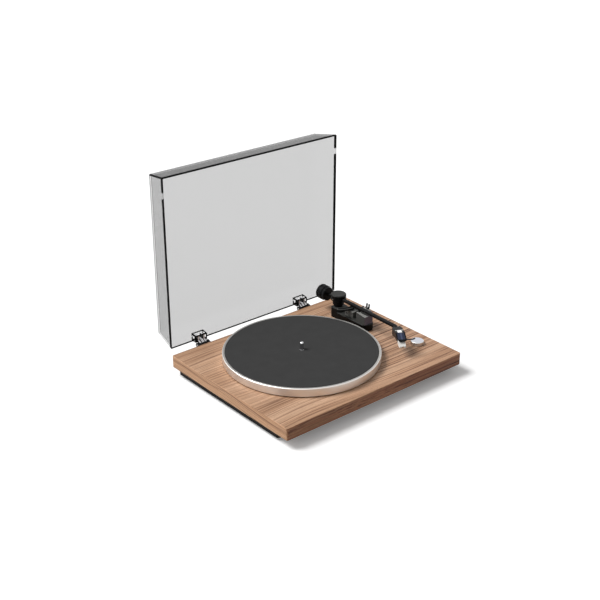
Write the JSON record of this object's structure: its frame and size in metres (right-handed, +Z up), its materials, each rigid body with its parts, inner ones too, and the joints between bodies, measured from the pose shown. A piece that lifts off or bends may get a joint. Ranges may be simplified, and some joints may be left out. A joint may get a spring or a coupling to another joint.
{
  "type": "turntable",
  "caption": "Belt-driven turntable: veneered plinth on a tray with feet, aluminium platter with a mat, angled tonearm with its rest and lift, and a clear cover hinged at the rear.",
  "frame": {"origin": "on the surface under the feet, on the plinth's centre line, in the middle of the whole depth with the cover open", "axes": "+Z up, +Y to the rear where the cover's hinges are, +X to the right where the tonearm is"},
  "size_m": [0.42, 0.405, 0.3833],
  "materials": {
    "walnut_veneer": "satin open-pored veneer on fibreboard",
    "black_moulding": "fine texture",
    "black_steel": "blackened",
    "foot_rubber": "matte",
    "gilt_brass": "bright",
    "nickel_steel": "nickel-plated",
    "socket_moulding": "plain",
    "slider_moulding": "plain",
    "board_laminate": "solder mask",
    "bearing_steel": "ground",
    "bronze": "sintered",
    "zinc_steel": "zinc-plated",
    "spindle_steel": "polished",
    "platter_aluminium": "turned, bright at its lip",
    "mat_rubber": "matte",
    "motor_steel": "pressed can",
    "belt_rubber": "satin",
    "knob_aluminium": "satin, spun top",
    "arm_moulding": "satin",
    "black_metal": "satin",
    "housing_moulding": "satin",
    "block_moulding": "plain",
    "tube_metal": "black anodised",
    "stub_metal": "black anodised",
    "weight_metal": "satin black",
    "bush_moulding": "plain",
    "dial_moulding": "plain, milled edge",
    "shell_moulding": "fine texture",
    "finger_metal": "dark anodised",
    "cartridge_moulding": "gloss",
    "stylus_moulding": "white",
    "cantilever_metal": "bright",
    "pad_rubber": "matte",
    "lever_moulding": "satin",
    "rest_moulding": "satin",
    "latch_moulding": "satin",
    "clear_plastic": "clear, faintly smoked",
    "clear_pad": "clear silicone",
    "hinge_moulding": "satin"
  },
  "bodies": {
    "deck": {"plinth": "walnut_veneer", "base_tray": "black_moulding", "tray_screws": "black_steel", "foot_front_left": "foot_rubber", "foot_front_right": "foot_rubber", "foot_rear_left": "foot_rubber", "foot_rear_right": "foot_rubber", "rca_sockets": "gilt_brass", "ground_post": "nickel_steel", "power_socket": "socket_moulding", "output_switch_body": "socket_moulding", "circuit_board": "board_laminate", "bearing_housing": "bearing_steel", "bearing_bushes": "bronze", "thrust_ball": "bearing_steel", "deck_screws": "zinc_steel", "motor_plate": "zinc_steel", "motor": "motor_steel", "drive_belt": "belt_rubber", "rotary_switch": "socket_moulding", "arm_base": "arm_moulding", "arm_bearing": "black_metal", "cue_unit": "arm_moulding", "arm_rest": "rest_moulding", "hinge_bracket_left": "hinge_moulding", "hinge_bracket_right": "hinge_moulding", "hinge_pins": "nickel_steel", "hinge_screws": "black_steel"},
    "lid": {"dust_cover": "clear_plastic", "cover_pads": "clear_pad", "hinge_leaf_left": "hinge_moulding", "hinge_leaf_right": "hinge_moulding"},
    "turntable_platter": {"platter": "platter_aluminium", "platter_mat": "mat_rubber", "spindle": "spindle_steel"},
    "pulley": {"motor_pulley": "bronze"},
    "selector": {"selector_knob": "knob_aluminium", "knob_shaft": "bearing_steel"},
    "output_slider": {"output_switch_slider": "slider_moulding"},
    "lift_lever": {"cue_lever": "lever_moulding"},
    "lift_bar": {"cue_lift": "black_metal", "lift_pad": "pad_rubber"},
    "side_force_knob": {"anti_skate_knob": "lever_moulding"},
    "latch": {"rest_latch": "latch_moulding"},
    "arm_yoke": {"pivot_housing": "housing_moulding", "swing_shaft": "bearing_steel", "tilt_axle": "bearing_steel"},
    "tonearm": {"pivot_block": "block_moulding", "arm_tube": "tube_metal", "rear_stub": "stub_metal", "headshell": "shell_moulding", "finger_lift": "finger_metal", "cartridge": "cartridge_moulding", "cartridge_screws": "zinc_steel", "stylus_holder": "stylus_moulding", "cantilever": "cantilever_metal"},
    "weight": {"counterweight": "weight_metal", "counterweight_bush": "bush_moulding"},
    "dial": {"force_dial": "dial_moulding"}
  },
  "joints": [
    {"name": "cover_hinge", "type": "hinge", "parent": "deck", "child": "lid", "pos_m": [0, 0.1436, 0.0381], "axis": [1, 0, 0], "range_deg": [0, 90]},
    {"name": "platter_spin", "type": "hinge", "parent": "deck", "child": "turntable_platter", "pos_m": [-0.0313, -0.0273, 0.041], "axis": [0, 0, 1], "continuous": true},
    {"name": "pulley_spin", "type": "hinge", "parent": "deck", "child": "pulley", "pos_m": [-0.09677, 0.04291, 0.041], "axis": [0, 0, 1], "continuous": true},
    {"name": "selector_turn", "type": "hinge", "parent": "deck", "child": "selector", "pos_m": [0.1735, -0.1235, 0.041], "axis": [0, 0, -1], "range_deg": [0, 90]},
    {"name": "output_switch_slide", "type": "slide", "parent": "deck", "child": "output_slider", "axis": [-1, 0, 0], "range_m": [0, 0.004]},
    {"name": "lift_lever_turn", "type": "hinge", "parent": "deck", "child": "lift_lever", "pos_m": [0.142, 0.032, 0.0605], "axis": [1, 0, 0], "range_deg": [-40, 0]},
    {"name": "lift_bar_slide", "type": "slide", "parent": "deck", "child": "lift_bar", "axis": [0, 0, 1], "range_m": [0, 0.00158]},
    {"name": "side_force_turn", "type": "hinge", "parent": "deck", "child": "side_force_knob", "pos_m": [0.1495, 0.0434, 0.055], "axis": [0, 0, 1], "range_deg": [0, 270]},
    {"name": "latch_turn", "type": "hinge", "parent": "deck", "child": "latch", "pos_m": [0.14905, -0.0105, 0.083], "axis": [0, -1, 0], "range_deg": [0, 90]},
    {"name": "arm_swing", "type": "hinge", "parent": "deck", "child": "arm_yoke", "pos_m": [0.142, 0.066, 0.041], "axis": [0, 0, -1], "range_deg": [0, 40]},
    {"name": "arm_tilt", "type": "hinge", "parent": "arm_yoke", "child": "tonearm", "pos_m": [0.142, 0.066, 0.0795], "axis": [0.9997, -0.0237, 0], "range_deg": [-2.19, 0]},
    {"name": "counterweight_slide", "type": "slide", "parent": "tonearm", "child": "weight", "axis": [0.0237, 0.9997, 0], "range_m": [-0.006, 0.0025]},
    {"name": "force_dial_turn", "type": "hinge", "parent": "weight", "child": "dial", "pos_m": [0.14301, 0.10849, 0.0752], "axis": [0.0237, 0.9997, 0], "continuous": true}
  ],
  "couplings": [
    {"joint": "pulley_spin", "follows": "platter_spin", "ratio": 13.2},
    {"joint": "lift_lever_turn", "follows": "lift_bar_slide", "rad_per_m": -443.25},
    {"joint": "arm_tilt", "follows": "lift_bar_slide", "rad_per_m": -24.268}
  ]
}
